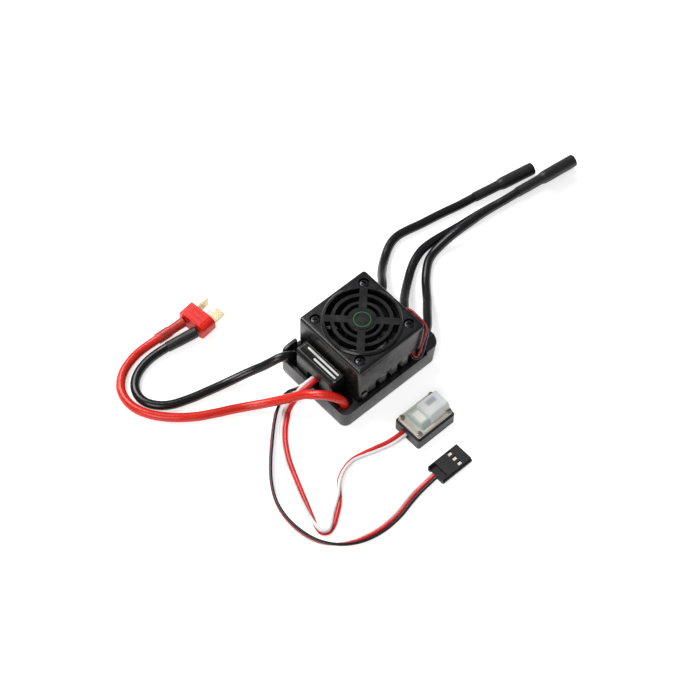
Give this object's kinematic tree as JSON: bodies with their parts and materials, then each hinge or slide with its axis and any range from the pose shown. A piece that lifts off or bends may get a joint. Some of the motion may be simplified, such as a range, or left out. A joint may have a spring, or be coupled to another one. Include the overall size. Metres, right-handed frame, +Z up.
{
  "type": "electronic speed controller",
  "caption": "Fan cooled brushless motor speed controller with battery and motor wires, a slide switch on a lead and a servo style receiver lead.",
  "frame": {"origin": "middle of the underside of the case tray", "axes": "+X from the battery end to the motor wire end along the case, +Y to the case's left seen that way, +Z up out of the fan"},
  "size_m": [0.2014, 0.1177, 0.0282],
  "materials": {
    "black_plastic": "satin black",
    "satin_black": "satin black",
    "label_black": "gloss black, bare",
    "black_anodised": "black anodised",
    "screw_black": "blackened",
    "bright_steel": "bright",
    "gold_plate": "gold plated",
    "board_green": "green lacquer",
    "chip_black": "moulded",
    "pad_grey": "soft",
    "copper": "copper",
    "black_silicone": "satin silicone",
    "red_silicone": "satin silicone",
    "white_silicone": "satin",
    "shrink_black": "matt shrink tube",
    "shrink_red": "matt shrink tube",
    "plug_red": "satin nylon",
    "clear_plastic": "clear moulding"
  },
  "bodies": {
    "case": {"base_tray": "black_plastic", "circuit_board": "board_green", "power_transistor_1": "chip_black", "power_transistor_2": "chip_black", "power_transistor_3": "chip_black", "power_transistor_4": "chip_black", "thermal_pad": "pad_grey", "capacitor_left": "bright_steel", "capacitor_right": "bright_steel", "heat_sink": "black_anodised", "fan_shroud": "satin_black", "fan_guard": "satin_black", "hub_badge": "black_plastic", "guard_screw_1": "screw_black", "guard_screw_2": "screw_black", "guard_screw_3": "screw_black", "guard_screw_4": "screw_black", "terminal_cover": "satin_black", "label_panel": "label_black", "fan_frame": "black_plastic", "fan_bearing": "copper", "fan_stator": "copper", "battery_wire_red": "red_silicone", "battery_wire_black": "black_silicone", "battery_sleeve_red": "shrink_red", "battery_sleeve_black": "shrink_black", "motor_wire_a": "black_silicone", "motor_wire_b": "black_silicone", "motor_wire_c": "black_silicone", "fan_lead_red": "red_silicone", "fan_lead_black": "black_silicone", "switch_wire_white": "white_silicone", "switch_wire_red": "red_silicone", "receiver_wire_white": "white_silicone", "receiver_wire_red": "red_silicone", "receiver_wire_black": "black_silicone", "battery_plug_body": "plug_red", "battery_plug_blade_positive": "gold_plate", "battery_plug_blade_negative": "gold_plate", "motor_sleeve_a": "shrink_black", "motor_sleeve_b": "shrink_black", "motor_sleeve_c": "shrink_black", "motor_bullet_a": "gold_plate", "motor_bullet_b": "gold_plate", "motor_bullet_c": "gold_plate", "switch_case": "black_plastic", "switch_body": "bright_steel", "switch_hood": "clear_plastic", "switch_screw_1": "bright_steel", "switch_screw_2": "bright_steel", "switch_screw_3": "bright_steel", "switch_screw_4": "bright_steel", "receiver_plug": "black_plastic", "receiver_contact_1": "bright_steel", "receiver_contact_2": "bright_steel", "receiver_contact_3": "bright_steel"},
    "fan": {"fan_rotor": "satin_black", "fan_shaft": "bright_steel"},
    "slider": {"switch_slider": "white_silicone"}
  },
  "joints": [
    {"name": "fan_spin", "type": "hinge", "parent": "case", "child": "fan", "pos_m": [0.0019, 0, 0.0206], "axis": [0, 0, 1], "continuous": true},
    {"name": "switch_slide", "type": "slide", "parent": "case", "child": "slider", "axis": [1, 0, 0], "range_m": [0, 0.003]}
  ]
}
